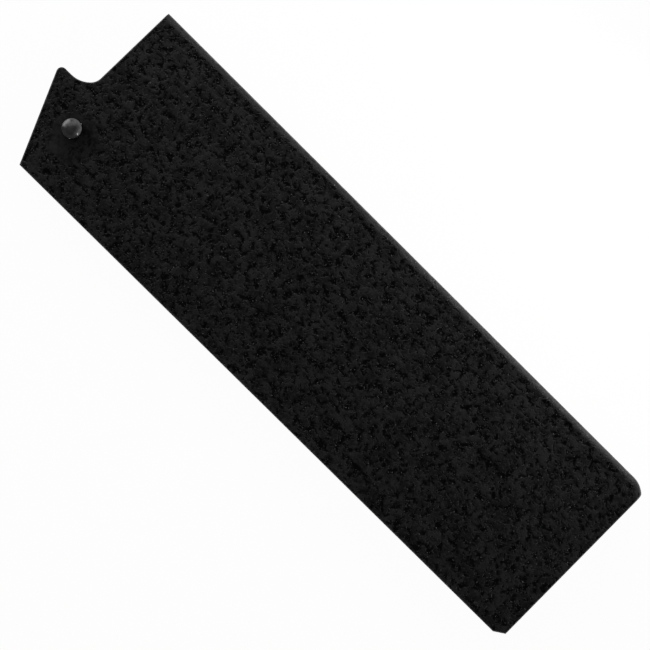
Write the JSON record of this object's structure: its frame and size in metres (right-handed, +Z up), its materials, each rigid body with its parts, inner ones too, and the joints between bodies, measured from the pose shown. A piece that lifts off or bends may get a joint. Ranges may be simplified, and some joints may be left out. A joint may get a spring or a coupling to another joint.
{
  "type": "knife blade guard",
  "caption": "Flat lacquered wooden knife blade guard with a heel lug and a tapered push-through locking pin; a square-ended blade slides in from the handle end.",
  "frame": {"origin": "on the flat back face, halfway along the cutting-edge side and halfway across the handle end", "axes": "+X along the cutting-edge side towards the tip end, +Y towards the spine, +Z up out of the back face towards the face with the pin's domed end"},
  "size_m": [0.192, 0.057, 0.0148],
  "materials": {
    "stone_lacquer": "black lacquer with a fine stone-like texture over wood",
    "spacer_wood": "wood, black lacquer on the outside edge",
    "pin_gloss": "smooth glossy black"
  },
  "bodies": {
    "sheath": {"front_panel": "stone_lacquer", "back_panel": "stone_lacquer", "edge_strip": "spacer_wood", "spine_strip": "spacer_wood", "tip_strip": "spacer_wood"},
    "pin": {"locking_pin": "pin_gloss"}
  },
  "joints": [
    {"name": "pin_slide", "type": "slide", "parent": "sheath", "child": "pin", "axis": [0, 0, 1], "range_m": [0, 0.018]}
  ]
}
